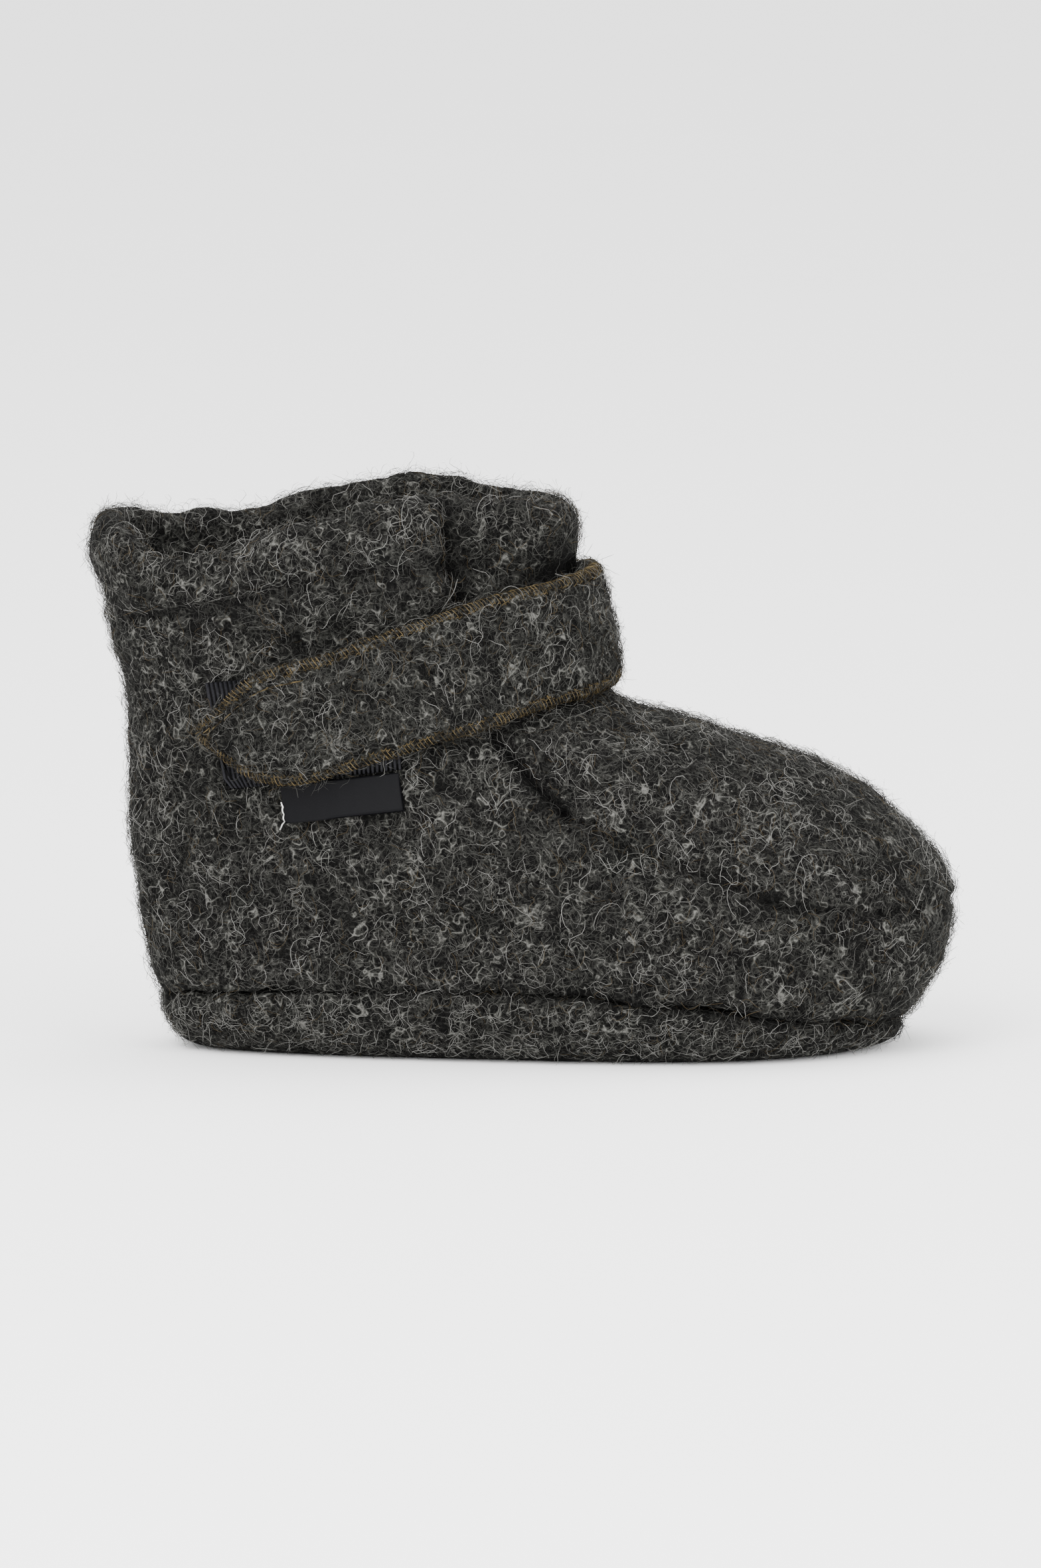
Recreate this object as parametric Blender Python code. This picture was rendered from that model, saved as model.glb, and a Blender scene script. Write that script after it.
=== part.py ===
"""A child's slipper bootie of thick boiled wool, right foot, standing on its sole.

Metres, +Z up, toe towards +X, the outer side of the foot towards -Y.
The body is one smooth form: closed sections are stacked from the sole's seam up to the collar.
Below the seam lies the cupped sole, above it the upper, and the front of the shaft is the tongue.
"""

import math
from collections import namedtuple

import bmesh
import bpy
import numpy as np

# The last: outer sizes of the standing bootie
FOOT_LENGTH = 0.1350
BALL_WIDTH = 0.0605
HEEL_WIDTH = 0.0475
INSTEP_HEIGHT = 0.0585
COLLAR_HEIGHT = 0.0920
COLLAR_BACK_DROP = 0.0098
COLLAR_LENGTH = 0.0800
COLLAR_WIDTH = 0.0465
SHAFT_LEAN = 0.0073
TOE_SWING = 0.0034
ARCH_WAIST = 0.0024

# The sole's seam and its rounded side
HEEL_SEAM_HEIGHT = 0.0095
SIDE_SEAM_HEIGHT = 0.0118
TOE_SEAM_HEIGHT = 0.0042
SOLE_ROUND = 0.0080
SOLE_INNER_ROUND = 0.0050
SOLE_THICKNESS = 0.0044

# Cloth thicknesses, and the clearance between neighbouring pieces
WALL = 0.0034
HEM_WALL = 0.0052
HEM_DEPTH = 0.0120
GAP = 0.0003
TONGUE_SEAM_GAPS = 1.2

# The throat: where the front edges of the two quarters stand, in degrees round from the front
LATERAL_EDGE_ANGLE = 63.0
MEDIAL_EDGE_ANGLE = 62.0
MEDIAL_RIM_ANGLE = 74.0
TONGUE_TUCK_ANGLE = 14.0
TONGUE_DIVE_ANGLE = 18.0

# The strap, its hook-and-loop patch and the folded label, laid out on the unrolled shaft
STRAP_WIDTH = 0.0192
STRAP_THICKNESS = 0.0034
STRAP_FRONT_HEIGHT = 0.0699
STRAP_TIP_REACH = 0.0755
STRAP_TIP_LENGTH = 0.0150
STRAP_END_REACH = 0.0600
STRAP_REST = 0.0018
PATCH_LENGTH = 0.0300
PATCH_WIDTH = 0.0176
PATCH_THICKNESS = 0.0014
PATCH_BACK_INSET = 0.0016
PATCH_DROP = 0.0010
PATCH_SLOPE = 7.0
LABEL_WIDTH = 0.0198
LABEL_DROP = 0.0064
LABEL_THICKNESS = 0.0008
LABEL_BACK_INSET = 0.0096

# Shares and powers of the strap and its patch: how blunt the tip is and what width its end keeps, how
# wide the square end's corners are and how soon they are full, how the slices crowd towards the ends,
# how far the long edges lie under the middle, and where the strap climbs onto the patch
STRAP_TIP_POWER = 2.2
STRAP_TIP_SHARE = 0.14
STRAP_CORNER_SHARE = 0.93
STRAP_CORNER_LENGTH = 0.12
STRAP_CROWDING = 0.12
STRAP_CROWN = 0.28
CLIMB_START = 0.6
CLIMB_LENGTH = 0.4

# How finely the forms are cut into faces
FRONT_CELLS = 20
SIDE_CELLS = 38
SEAM_CELLS = 3
RIM_CELLS = 2
SOLE_CELLS = 56
SOLE_ROUND_CELLS = 4
SOLE_CELLS_ACROSS = 4
STRAP_CELLS = 50
STRAP_CELLS_ACROSS = 6
CLOUD_CELLS = 210
PATCH_CELLS = (8, 4)
LABEL_CELLS = (6, 2)

Section = namedtuple(
    "Section",
    "back_x back_z front_x front_z lift dip width heel widest front_n back_n curve",
)

# Foot sections, from just above the seam to just under the shaft. x is a share of FOOT_LENGTH, up of
# INSTEP_HEIGHT, width of BALL_WIDTH and heel of HEEL_WIDTH. widest is where along the section its
# greatest width lies. front_n and back_n say how square its ends are, curve how much of the foot's
# left or right curve it takes, and cells how many rows of faces lead up to the next section.
FootRow = namedtuple(
    "FootRow",
    "back_x back_up front_x front_up width heel widest front_n back_n curve cells",
)
FOOT_ROWS = (
    FootRow(0.017, 0.300, 0.995, 0.262, 1.000, 1.000, 0.66, 2.3, 2.75, 1.0, 3),
    FootRow(0.007, 0.513, 0.997, 0.505, 0.965, 1.005, 0.63, 2.2, 2.7, 0.9, 3),
    FootRow(0.001, 0.700, 0.918, 0.700, 0.890, 1.005, 0.58, 2.1, 2.5, 0.7, 2),
    FootRow(0.000, 0.850, 0.806, 0.836, 0.825, 0.995, 0.54, 2.1, 2.4, 0.4, 2),
    FootRow(-0.002, 0.950, 0.690, 0.930, 0.782, 0.980, 0.52, 2.1, 2.3, 0.2, 2),
    FootRow(-0.004, 0.990, 0.606, 0.978, 0.772, 0.970, 0.51, 2.1, 2.2, 0.1, 1),
)

# The shaft sections above the bend. lean is a share of SHAFT_LEAN, up of the way from INSTEP_HEIGHT
# to the rim, length of COLLAR_LENGTH, width of COLLAR_WIDTH and dip of the rim's own drop.
ShaftRow = namedtuple("ShaftRow", "lean up length width dip cells")
SHAFT_ROWS = (
    ShaftRow(0.13, 0.085, 0.974, 0.985, 0.00, 2),
    ShaftRow(0.36, 0.310, 0.986, 0.972, 0.15, 2),
    ShaftRow(0.70, 0.600, 0.990, 0.965, 0.42, 2),
    ShaftRow(1.00, 0.825, 1.008, 0.985, 0.75, 2),
    ShaftRow(0.84, 1.000, 0.996, 1.000, 1.00, 0),
)
THROAT_SECTION = 1 + len(FOOT_ROWS) + 1
SHAFT_ROUND_N = 2.15
SEAM_BACK, SEAM_FRONT = 0.033, 0.948
SEAM_WIDTH = 0.965

# The rim's drop towards the back, as a share of COLLAR_BACK_DROP, along it from back to front
RIM_DROP = ((0.0, 0.46), (0.05, 0.62), (0.13, 1.0), (0.25, 0.66), (0.40, 0.24), (0.53, 0.0), (1.0, 0.03))

# The strap's middle line: reach is a share of STRAP_END_REACH behind the front on the inner side and
# of STRAP_TIP_REACH on the outer side, and height of STRAP_FRONT_HEIGHT
STRAP_LINE = (
    (-1.00, 0.822),
    (-0.62, 0.893),
    (-0.27, 0.975),
    (0.00, 1.000),
    (0.26, 0.976),
    (0.42, 0.936),
    (0.75, 0.822),
    (0.88, 0.796),
    (1.00, 0.786),
)
STRAP_SHARES = [2 * k / STRAP_CELLS_ACROSS - 1 for k in range(STRAP_CELLS_ACROSS + 1)]


def smooth(t):
    t = min(max(t, 0.0), 1.0)
    return t * t * (3.0 - 2.0 * t)


def through(points, x):
    """A smooth curve through a table of (x, y) points."""
    xs = [p[0] for p in points]
    ys = [p[1] for p in points]
    x = min(max(x, xs[0]), xs[-1])
    i = min(max(int(np.searchsorted(xs, x)) - 1, 0), len(xs) - 2)

    def slope(k):
        if k == 0 or k == len(xs) - 1:
            return 0.0
        return (ys[k + 1] - ys[k - 1]) / (xs[k + 1] - xs[k - 1])

    width = xs[i + 1] - xs[i]
    t = (x - xs[i]) / width
    rise = slope(i) * width * t * (1 - t) ** 2 - slope(i + 1) * width * t * t * (1 - t)
    return ys[i] + (ys[i + 1] - ys[i]) * smooth(t) + rise


def sections():
    """All sections from the seam to the rim, in metres. x is counted from the back of the heel."""
    rows = [
        Section(
            back_x=SEAM_BACK * FOOT_LENGTH,
            back_z=HEEL_SEAM_HEIGHT,
            front_x=SEAM_FRONT * FOOT_LENGTH,
            front_z=TOE_SEAM_HEIGHT,
            lift=SIDE_SEAM_HEIGHT - (HEEL_SEAM_HEIGHT + TOE_SEAM_HEIGHT) / 2,
            dip=0.0,
            width=SEAM_WIDTH * BALL_WIDTH,
            heel=SEAM_WIDTH * HEEL_WIDTH,
            widest=FOOT_ROWS[0].widest,
            front_n=FOOT_ROWS[0].front_n,
            back_n=FOOT_ROWS[0].back_n,
            curve=1.0,
        )
    ]
    for row in FOOT_ROWS:
        rows.append(
            Section(
                back_x=row.back_x * FOOT_LENGTH,
                back_z=row.back_up * INSTEP_HEIGHT,
                front_x=row.front_x * FOOT_LENGTH,
                front_z=row.front_up * INSTEP_HEIGHT,
                lift=0.0,
                dip=0.0,
                width=row.width * BALL_WIDTH,
                heel=row.heel * HEEL_WIDTH,
                widest=row.widest,
                front_n=row.front_n,
                back_n=row.back_n,
                curve=row.curve,
            )
        )
    rise = COLLAR_HEIGHT - HEM_WALL / 2 - INSTEP_HEIGHT
    for row in SHAFT_ROWS:
        back_x = -row.lean * SHAFT_LEAN
        height = INSTEP_HEIGHT + row.up * rise
        rows.append(
            Section(
                back_x=back_x,
                back_z=height,
                front_x=back_x + row.length * COLLAR_LENGTH,
                front_z=height,
                lift=0.0,
                dip=row.dip * COLLAR_BACK_DROP,
                width=row.width * COLLAR_WIDTH,
                heel=row.width * COLLAR_WIDTH,
                widest=0.5,
                front_n=SHAFT_ROUND_N,
                back_n=SHAFT_ROUND_N,
                curve=0.0,
            )
        )
    return rows


ROWS = np.array(sections())
TOP = len(ROWS) - 1


def places(first, last):
    """The places of all rows of points from one section to another."""
    cells = [SEAM_CELLS] + [row.cells for row in FOOT_ROWS + SHAFT_ROWS]
    found = [i + k / cells[i] for i in range(first, last) for k in range(cells[i])]
    return [*found, float(last)]


def section_at(s):
    """The section at place s, which counts rows from the seam, on a smooth curve through the rows."""
    i = min(max(int(math.floor(s)), 0), len(ROWS) - 2)
    t = s - i
    before = ROWS[i - 1] if i > 0 else 2 * ROWS[i] - ROWS[i + 1]
    after = ROWS[i + 2] if i + 2 < len(ROWS) else 2 * ROWS[i + 1] - ROWS[i]
    a, b = ROWS[i], ROWS[i + 1]
    value = 0.5 * (
        2 * a
        + (b - before) * t
        + (2 * before - 5 * a + 4 * b - after) * t * t
        + (3 * a - before - 3 * b + after) * t**3
    )
    return Section(*value)


def body_point(s, angle):
    """The outer surface of the bootie. angle is in radians from the front, growing towards -Y."""
    sec = section_at(s)
    c, w = math.cos(angle), math.sin(angle)
    n = sec.front_n if c >= 0 else sec.back_n
    reach = (abs(c) ** n + abs(w) ** n) ** (-1.0 / n)
    c, w = c * reach, w * reach
    along = sec.widest + c * (1 - sec.widest if c >= 0 else sec.widest)
    half = sec.width / 2
    if c < 0:
        half = sec.heel / 2 + (sec.width - sec.heel) / 2 * smooth(along / sec.widest)
    y = -w * half
    if c > 0:
        y += sec.curve * TOE_SWING * c * c
    waist = sec.curve * ARCH_WAIST * math.exp(-(((along - 0.40) / 0.16) ** 2))
    y += waist * w * (1.0 if w < 0 else 0.35)
    x = sec.back_x + along * (sec.front_x - sec.back_x)
    z = sec.back_z + along * (sec.front_z - sec.back_z) + sec.lift * math.sin(math.pi * along)
    return np.array((x, y, z - sec.dip * through(RIM_DROP, along)))


def body_normal(s, angle):
    """The outward direction of the outer surface."""
    step_s, step_angle = 0.02, 0.02
    up = body_point(min(s + step_s, TOP), angle) - body_point(max(s - step_s, 0.0), angle)
    round_ = body_point(s, angle + step_angle) - body_point(s, angle - step_angle)
    normal = np.cross(up, round_)
    return normal / np.linalg.norm(normal)


def wall_at(s, angle):
    """The wall's thickness: one layer, and two pressed layers where the collar's hem is turned in."""
    below_rim = body_point(TOP, angle)[2] - body_point(s, angle)[2]
    return WALL + (HEM_WALL - WALL) * smooth((HEM_DEPTH - below_rim) / (0.3 * HEM_DEPTH))


def shaft_middle():
    """x of the upright line in the middle of the shaft at the strap."""
    section = section_at(float(THROAT_SECTION))
    return (section.back_x + section.front_x) / 2


AXIS_X = shaft_middle()


def place_for(bearing, height):
    """Place and angle of the surface's point at a height, in a direction from the shaft's middle line."""
    place = np.array((float(THROAT_SECTION), bearing))
    goal = np.array((bearing, height))
    steps = (1e-4, 1e-4)
    for _ in range(14):
        now = bearing_and_height(place)
        slopes = [(bearing_and_height(place + np.eye(2)[k] * steps[k]) - now) / steps[k] for k in range(2)]
        move = np.linalg.solve(np.array(slopes).T, goal - now)
        place += np.clip(move, (-0.8, -0.35), (0.8, 0.35))
        place[0] = min(max(place[0], 2.0), TOP)
        if abs(move[0]) + abs(move[1]) < 1e-7:
            break
    return place


def bearing_and_height(place):
    point = body_point(place[0], place[1])
    return np.array((math.atan2(-point[1], point[0] - AXIS_X), point[2]))


def unrolled():
    """Distances round the shaft from its front against bearings, level with the strap's middle."""
    middle = STRAP_FRONT_HEIGHT - STRAP_WIDTH / 3
    bearings = np.linspace(0.0, math.pi, 91)
    points = np.array([body_point(*place_for(b, middle)) for b in bearings])
    steps = np.linalg.norm(np.diff(points[:, :2], axis=0), axis=1)
    return np.concatenate([[0.0], np.cumsum(steps)]), bearings


ARC_LENGTHS, ARC_BEARINGS = unrolled()


def laid(distance, height):
    """Point and normal of the shaft at a place of its unrolled sheet, positive distances towards -Y."""
    bearing = math.copysign(float(np.interp(abs(distance), ARC_LENGTHS, ARC_BEARINGS)), distance)
    place = place_for(bearing, height)
    return body_point(*place), body_normal(*place)


def medial_edge(s):
    """The inner quarter's front edge, which slants back towards the rim."""
    climb = smooth((s - THROAT_SECTION) / (TOP - THROAT_SECTION))
    return math.radians(MEDIAL_EDGE_ANGLE + (MEDIAL_RIM_ANGLE - MEDIAL_EDGE_ANGLE) * climb)


def material(name, colour, roughness):
    made = bpy.data.materials.new(name)
    made.use_nodes = True
    shader = made.node_tree.nodes["Principled BSDF"]
    shader.inputs["Base Color"].default_value = (*colour, 1.0)
    shader.inputs["Roughness"].default_value = roughness
    shader.inputs["Metallic"].default_value = 0.0
    return made


def add_object(name, points, faces, finish):
    """A closed mesh object with its faces pointing out."""
    mesh = bpy.data.meshes.new(name)
    mesh.from_pydata([tuple(p) for p in points], [], faces)
    form = bmesh.new()
    form.from_mesh(mesh)
    bmesh.ops.remove_doubles(form, verts=form.verts, dist=1e-7)
    bmesh.ops.recalc_face_normals(form, faces=form.faces)
    form.to_mesh(mesh)
    form.free()
    mesh.materials.append(finish)
    mesh.shade_smooth()
    mesh.set_sharp_from_angle(angle=math.radians(50))
    made = bpy.data.objects.new(name, mesh)
    bpy.context.scene.collection.objects.link(made)
    return made


def shell(name, outer, inner, finish, keep=None, closed=False):
    """A wall between two grids of points. keep says which cells exist, closed joins the ends."""
    rows, columns = len(outer), len(outer[0])
    cells = columns if closed else columns - 1
    points = [p for row in outer for p in row] + [p for row in inner for p in row]
    far = rows * columns

    def present(i, j):
        if closed:
            j %= columns
        return 0 <= i < rows - 1 and 0 <= j < cells and (keep is None or keep(i, j))

    faces = []
    for i in range(rows - 1):
        for j in range(cells):
            if not present(i, j):
                continue
            k = (j + 1) % columns
            corners = (i * columns + j, i * columns + k, (i + 1) * columns + k, (i + 1) * columns + j)
            faces.append(corners)
            faces.append(tuple(far + c for c in reversed(corners)))
            beside = ((i - 1, j), (i, j + 1), (i + 1, j), (i, j - 1))
            for side, neighbour in enumerate(beside):
                if not present(*neighbour):
                    a, b = corners[side], corners[(side + 1) % 4]
                    faces.append((b, a, far + a, far + b))
    used = sorted({v for face in faces for v in face})
    new_index = {old: new for new, old in enumerate(used)}
    return add_object(
        name,
        [points[v] for v in used],
        [tuple(new_index[v] for v in face) for face in faces],
        finish,
    )


def rounded_rim(outer, inner, normals, walls):
    """Adds the folded rim to a shell: a half round from its outer to its inner face."""
    middle = [(a + b) / 2 for a, b in zip(outer[-1], inner[-1])]
    for k in range(1, RIM_CELLS + 1):
        turn = math.pi / 2 * k / (RIM_CELLS + 0.4)
        for rows, side in ((outer, 1), (inner, -1)):
            ring = []
            for centre, normal, wall in zip(middle, normals, walls):
                out = normal * (side * math.cos(turn) * wall / 2)
                ring.append(centre + out + np.array((0.0, 0.0, math.sin(turn) * wall / 2)))
            rows.append(ring)


def upper(finish):
    """Quarters and vamp as one hollow form, open at the collar, at the throat and underneath."""
    lateral = math.radians(LATERAL_EDGE_ANGLE)
    outer, inner = [], []
    rows = places(0, TOP)
    for s in rows:
        medial = medial_edge(s)
        front, rest = lateral + medial, 2 * math.pi - lateral - medial
        angles = [front * j / FRONT_CELLS - medial for j in range(FRONT_CELLS)]
        angles += [rest * j / SIDE_CELLS + lateral for j in range(SIDE_CELLS)]
        normals = [body_normal(s, a) for a in angles]
        walls = [wall_at(s, a) for a in angles]
        ring = [body_point(s, a) for a in angles]
        if s == 0.0:
            ring = [p + (0.0, 0.0, GAP / 2) for p in ring]
        outer.append(ring)
        inner.append([p - n * wall for p, n, wall in zip(ring, normals, walls)])
    rounded_rim(outer, inner, normals, walls)
    throat_row = rows.index(THROAT_SECTION)

    def keep(i, j):
        return i < throat_row or j >= FRONT_CELLS

    return shell("upper", outer, inner, finish, keep=keep, closed=True)


def tongue(finish):
    """The front of the shaft, sewn edge to edge to the inner quarter and tucked under the outer one."""
    gap_angle = TONGUE_SEAM_GAPS * GAP / (COLLAR_WIDTH / 2)
    last = math.radians(LATERAL_EDGE_ANGLE + TONGUE_TUCK_ANGLE)
    dive_from = math.radians(TONGUE_DIVE_ANGLE)
    dive_to = math.radians(LATERAL_EDGE_ANGLE - 0.5 * TONGUE_TUCK_ANGLE)
    outer, inner = [], []
    for s in places(THROAT_SECTION, TOP):
        first = gap_angle - medial_edge(s)
        angles = [first + (last - first) * j / FRONT_CELLS for j in range(FRONT_CELLS + 1)]
        normals = [body_normal(s, a) for a in angles]
        walls = [wall_at(s, a) for a in angles]
        ring = []
        for a, n, wall in zip(angles, normals, walls):
            tuck = (wall + GAP) * smooth((a - dive_from) / (dive_to - dive_from))
            point = body_point(s, a) - n * tuck
            ring.append(point if outer else point + (0.0, 0.0, GAP))
        outer.append(ring)
        inner.append([p - n * wall for p, n, wall in zip(ring, normals, walls)])
    rounded_rim(outer, inner, normals, walls)
    return shell("tongue", outer, inner, finish)


def ladder(points, ring, across):
    """Closes a ring of vertex numbers, which runs from the toe round and back, with rows of faces."""
    half = len(ring) // 2
    rows = []
    for j in range(1, half):
        left, right = ring[j], ring[-j]
        row = [left]
        for k in range(1, across):
            points.append(points[left] + (points[right] - points[left]) * (k / across))
            row.append(len(points) - 1)
        rows.append([*row, right])
    faces = [(ring[0], a, b) for a, b in zip(rows[0], rows[0][1:])]
    for one, two in zip(rows, rows[1:]):
        faces += [(one[k], two[k], two[k + 1], one[k + 1]) for k in range(across)]
    faces += [(b, a, ring[half]) for a, b in zip(rows[-1], rows[-1][1:])]
    return faces


def sole(finish):
    """The cupped sole: flat on the floor, and rounded up at its side to the seam."""
    points, faces = [], []
    angles = [2 * math.pi * j / SOLE_CELLS for j in range(SOLE_CELLS)]
    rings = {"outer": [], "inner": []}
    for i in range(SOLE_ROUND_CELLS + 1):
        turn = math.pi / 2 * i / SOLE_ROUND_CELLS
        for face in rings:
            ring = []
            for a in angles:
                edge = body_point(0.0, a) - (0.0, 0.0, GAP / 2)
                normal = body_normal(0.0, a)
                flat = np.array((normal[0], normal[1], 0.0))
                flat /= np.linalg.norm(flat)
                if face == "outer":
                    start, bottom, inset = edge, 0.0, SOLE_ROUND
                else:
                    start, bottom, inset = edge - normal * WALL, SOLE_THICKNESS, SOLE_INNER_ROUND
                point = start - flat * inset * (1 - math.cos(turn))
                point[2] = bottom + (start[2] - bottom) * (1 - math.sin(turn))
                points.append(point)
                ring.append(len(points) - 1)
            rings[face].append(ring)
    for face in rings:
        for one, two in zip(rings[face], rings[face][1:]):
            for j in range(SOLE_CELLS):
                k = (j + 1) % SOLE_CELLS
                faces.append((one[j], one[k], two[k], two[j]))
        faces += ladder(points, rings[face][-1], SOLE_CELLS_ACROSS)
    top_outer, top_inner = rings["outer"][0], rings["inner"][0]
    for j in range(SOLE_CELLS):
        k = (j + 1) % SOLE_CELLS
        faces.append((top_outer[j], top_inner[j], top_inner[k], top_outer[k]))
    return add_object("sole", points, faces, finish)


def strap_height(distance):
    """The height of the strap's middle line on the unrolled shaft."""
    reach = STRAP_TIP_REACH if distance > 0 else STRAP_END_REACH
    return STRAP_FRONT_HEIGHT * through(STRAP_LINE, distance / reach)


def strap_half_width(distance):
    """Half the strap's width: square with soft corners at the inner end, and a point at the outer one."""
    to_tip = min(max((STRAP_TIP_REACH - distance) / STRAP_TIP_LENGTH, 0.0), 1.0)
    from_end = (distance + STRAP_END_REACH) / (STRAP_CORNER_LENGTH * STRAP_WIDTH)
    pointed = max(1 - (1 - to_tip) ** STRAP_TIP_POWER, STRAP_TIP_SHARE)
    corner = STRAP_CORNER_SHARE + (1 - STRAP_CORNER_SHARE) * smooth(from_end)
    return STRAP_WIDTH / 2 * pointed * corner


def patch_back():
    return STRAP_TIP_REACH - PATCH_BACK_INSET


def strap_lift(distance):
    """The strap's lower face lies on the shaft, and at the outer side on the patch."""
    on_shaft, on_patch = GAP, PATCH_THICKNESS + 2 * GAP
    patch_front = patch_back() - PATCH_LENGTH
    before = distance - patch_front + CLIMB_START * PATCH_LENGTH
    climb = smooth(before / (CLIMB_LENGTH * PATCH_LENGTH))
    return on_shaft + (on_patch - on_shaft) * climb


def strap_slice(distance):
    """The strap's straight line across the shaft, and the directions out of it and along the strap."""
    step = 0.001
    slope = math.atan((strap_height(distance + step) - strap_height(distance - step)) / (2 * step))
    half = strap_half_width(distance)
    base, normals = [], []
    for share in STRAP_SHARES:
        sideways, up = -share * half * math.sin(slope), share * half * math.cos(slope)
        point, normal = laid(distance + sideways, strap_height(distance) + up)
        base.append(point)
        normals.append(normal)
    across = base[-1] - base[0]
    out = sum(normals)
    out -= across * np.dot(out, across) / np.dot(across, across)
    out /= np.linalg.norm(out)
    along = np.cross(across, out)
    return base[0], across, out, along / np.linalg.norm(along)


def bulge_under(slice_, cloud):
    """How far the body stands out through a slice of the strap, within its width and its neighbours'."""
    first, across, out, along = slice_
    relative = cloud - first
    width = np.linalg.norm(across)
    place = relative @ across / width
    height = relative @ out
    near = (np.abs(relative @ along) < STRAP_REST) & (np.abs(height) < 2 * STRAP_THICKNESS)
    near &= (place > -GAP) & (place < width + GAP)
    return float(height[near].max()) if near.any() else 0.0


def strap(finish):
    """The closing strap, from the inner side over the front to the outer side."""
    length = STRAP_END_REACH + STRAP_TIP_REACH
    distances = []
    for i in range(STRAP_CELLS + 1):
        share = i / STRAP_CELLS
        share += STRAP_CROWDING * math.sin(2 * math.pi * share) / (2 * math.pi)
        distances.append(length * share - STRAP_END_REACH)
    around = np.linspace(-math.pi, math.pi, CLOUD_CELLS)
    levels = np.linspace(3, TOP, CLOUD_CELLS // 3)
    cloud = np.array([body_point(s, a) for s in levels for a in around])
    slices = [strap_slice(d) for d in distances]
    bulges = [max(bulge_under(one, cloud), 0.0) for one in slices]
    highest = [max(bulges[max(i - 2, 0) : i + 3]) for i in range(len(bulges))]
    outer, inner = [], []
    for i, (first, across, out, _) in enumerate(slices):
        near = highest[max(i - 2, 0) : i + 3]
        lift = strap_lift(distances[i]) + sum(near) / len(near)
        under = [first + across * (share + 1) / 2 + out * lift for share in STRAP_SHARES]
        crown = [STRAP_THICKNESS * (1 - STRAP_CROWN * share**4) for share in STRAP_SHARES]
        outer.append([p + out * thick for p, thick in zip(under, crown)])
        inner.append(under)
    return shell("strap", outer, inner, finish)


def plate(name, low, high, cells, thickness, finish):
    """A thin plate on the shaft between two corners of the patch's plan.

    The plan's corner is the patch's back lower one, its first direction runs along the patch to the
    front and its second one up across it.
    """
    turn = math.radians(PATCH_SLOPE)
    middle = strap_height(patch_back()) - PATCH_DROP
    outer, inner = [], []
    for i in range(cells[0] + 1):
        along = low[0] + (high[0] - low[0]) * i / cells[0]
        rows = ([], [])
        for k in range(cells[1] + 1):
            across = low[1] + (high[1] - low[1]) * k / cells[1]
            across -= PATCH_WIDTH / 2
            distance = patch_back() - along * math.cos(turn) + across * math.sin(turn)
            height = middle + along * math.sin(turn) + across * math.cos(turn)
            point, normal = laid(distance, height)
            rows[0].append(point + normal * (GAP + thickness))
            rows[1].append(point + normal * GAP)
        outer.append(rows[0])
        inner.append(rows[1])
    return shell(name, outer, inner, finish)


def patch(finish):
    """The hook-and-loop patch sewn to the outer quarter under the strap's tip."""
    corner = (PATCH_LENGTH, PATCH_WIDTH)
    return plate("fastening_patch", (0.0, 0.0), corner, PATCH_CELLS, PATCH_THICKNESS, finish)


def label(finish):
    """The folded woven label that hangs from the patch's lower edge."""
    low = (LABEL_BACK_INSET, -GAP - LABEL_DROP)
    high = (LABEL_BACK_INSET + LABEL_WIDTH, -GAP)
    return plate("side_label", low, high, LABEL_CELLS, LABEL_THICKNESS, finish)


def centre_on_floor(made):
    """Moves the meshes so that the origin lies under the middle of the whole bootie."""
    corners = np.array([v.co for one in made for v in one.data.vertices])
    low, high = corners.min(axis=0), corners.max(axis=0)
    shift = (-(low[0] + high[0]) / 2, -(low[1] + high[1]) / 2, -low[2])
    for one in made:
        for vertex in one.data.vertices:
            vertex.co.x += shift[0]
            vertex.co.y += shift[1]
            vertex.co.z += shift[2]


def main():
    for old in list(bpy.data.objects):
        bpy.data.objects.remove(old)
    charcoal, dark = (0.046, 0.045, 0.042), (0.012, 0.012, 0.013)
    made = [
        sole(material("sole_wool", charcoal, 0.95)),
        upper(material("upper_wool", charcoal, 0.95)),
        tongue(material("tongue_wool", charcoal, 0.95)),
        strap(material("strap_wool", charcoal, 0.95)),
        patch(material("patch_tape", dark, 0.8)),
        label(material("label_satin", dark, 0.5)),
    ]
    centre_on_floor(made)


main()
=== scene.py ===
import math
import random

import bmesh
import bpy
import numpy as np
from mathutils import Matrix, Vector, noise
from mathutils.bvhtree import BVHTree


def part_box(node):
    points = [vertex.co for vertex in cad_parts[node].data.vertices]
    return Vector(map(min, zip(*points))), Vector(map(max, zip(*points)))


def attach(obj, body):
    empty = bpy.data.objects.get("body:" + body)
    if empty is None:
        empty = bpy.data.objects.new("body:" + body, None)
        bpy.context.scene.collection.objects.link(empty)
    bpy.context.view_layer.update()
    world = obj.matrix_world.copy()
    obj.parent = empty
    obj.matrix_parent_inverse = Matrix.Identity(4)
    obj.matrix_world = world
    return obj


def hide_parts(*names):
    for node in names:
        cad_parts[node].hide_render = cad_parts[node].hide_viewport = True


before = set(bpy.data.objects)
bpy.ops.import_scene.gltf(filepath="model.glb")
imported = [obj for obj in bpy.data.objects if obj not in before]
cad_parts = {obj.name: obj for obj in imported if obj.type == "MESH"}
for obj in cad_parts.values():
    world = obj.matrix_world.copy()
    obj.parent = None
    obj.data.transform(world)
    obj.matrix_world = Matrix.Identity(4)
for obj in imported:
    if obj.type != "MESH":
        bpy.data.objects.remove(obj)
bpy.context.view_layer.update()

mm = 0.001

# Sizes of the bootie, read from the frame
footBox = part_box("upper")
footLength = footBox[1][0] - footBox[0][0]
bootHeight = footBox[1][2]

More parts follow.
